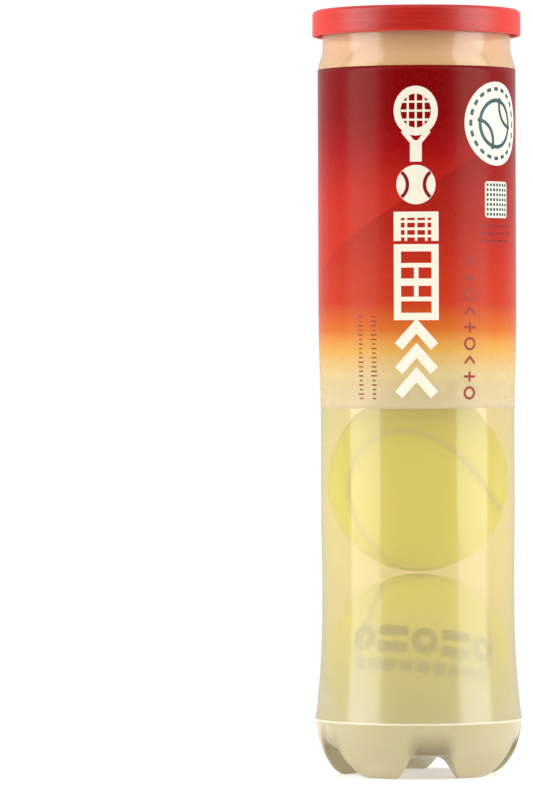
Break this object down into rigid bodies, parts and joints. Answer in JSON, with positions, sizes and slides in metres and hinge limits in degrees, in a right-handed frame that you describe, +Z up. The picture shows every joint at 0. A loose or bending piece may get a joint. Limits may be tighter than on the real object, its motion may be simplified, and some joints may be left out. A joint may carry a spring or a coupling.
{
  "type": "tennis ball can",
  "caption": "Clear blow-moulded can with a printed sleeve, ring-pull metal end, push-fit lid and a stack of felt tennis balls inside.",
  "frame": {"origin": "on the can's axis, in the plane that the feet stand on", "axes": "+Z up the can towards its lid, -Y towards the label's front, +X to the right as the label is read"},
  "size_m": [0.0752, 0.0752, 0.276],
  "materials": {
    "clear_wall": "clear blow-moulded polyester, hazier towards the feet, glossy",
    "printed_film": "glossy film, printed dark red at the top, fading through orange to clear yellow",
    "end_metal": "satin lacquered sheet",
    "tab_metal": "bright rolled sheet",
    "sealant": "matt water-based compound",
    "lid_plastic": "translucent red, satin with flow lines",
    "ball_felt": "optic yellow needled wool and nylon nap",
    "felt_seam": "matt pale cement",
    "rubber_core": "matt moulded rubber",
    "core_cement": "matt vulcanised cement"
  },
  "bodies": {
    "can": {"can_body": "clear_wall", "label_sleeve": "printed_film", "seam_ring": "end_metal", "sealing_compound": "sealant"},
    "lid": {"snap_lid": "lid_plastic"},
    "panel": {"tear_panel": "end_metal", "tab_nose": "tab_metal"},
    "ring": {"pull_ring": "tab_metal"},
    "ball_1": {"ball_1_core_lower": "rubber_core", "ball_1_core_upper": "rubber_core", "ball_1_core_cement": "core_cement", "ball_1_felt_a": "ball_felt", "ball_1_felt_b": "ball_felt", "ball_1_seam": "felt_seam"},
    "ball_2": {"ball_2_core_lower": "rubber_core", "ball_2_core_upper": "rubber_core", "ball_2_core_cement": "core_cement", "ball_2_felt_a": "ball_felt", "ball_2_felt_b": "ball_felt", "ball_2_seam": "felt_seam"},
    "ball_3": {"ball_3_core_lower": "rubber_core", "ball_3_core_upper": "rubber_core", "ball_3_core_cement": "core_cement", "ball_3_felt_a": "ball_felt", "ball_3_felt_b": "ball_felt", "ball_3_seam": "felt_seam"},
    "ball_4": {"ball_4_core_lower": "rubber_core", "ball_4_core_upper": "rubber_core", "ball_4_core_cement": "core_cement", "ball_4_felt_a": "ball_felt", "ball_4_felt_b": "ball_felt", "ball_4_seam": "felt_seam"}
  },
  "joints": [
    {"name": "lid_lift", "type": "slide", "parent": "can", "child": "lid", "axis": [0, 0, 1], "range_m": [0, 0.42]},
    {"name": "panel_lift", "type": "slide", "parent": "can", "child": "panel", "axis": [0, 0, 1], "range_m": [0, 0.381]},
    {"name": "ring_fold", "type": "hinge", "parent": "panel", "child": "ring", "pos_m": [0, 0.0215, 0.2724], "axis": [-1, 0, 0], "range_deg": [0, 90]},
    {"name": "ball_4_out", "type": "slide", "parent": "can", "child": "ball_4", "axis": [0, 0, 1], "range_m": [0, 0.3406]},
    {"name": "ball_3_out", "type": "slide", "parent": "can", "child": "ball_3", "axis": [0, 0, 1], "range_m": [0, 0.3204]},
    {"name": "ball_2_out", "type": "slide", "parent": "can", "child": "ball_2", "axis": [0, 0, 1], "range_m": [0, 0.3003]},
    {"name": "ball_1_out", "type": "slide", "parent": "can", "child": "ball_1", "axis": [0, 0, 1], "range_m": [0, 0.2805]}
  ],
  "couplings": [
    {"joint": "panel_lift", "follows": "lid_lift", "ratio": 0.905},
    {"joint": "ring_fold", "follows": "lid_lift", "rad_per_m": 3.7},
    {"joint": "ball_4_out", "follows": "lid_lift", "ratio": 0.81},
    {"joint": "ball_3_out", "follows": "lid_lift", "ratio": 0.762},
    {"joint": "ball_2_out", "follows": "lid_lift", "ratio": 0.714},
    {"joint": "ball_1_out", "follows": "lid_lift", "ratio": 0.667}
  ]
}
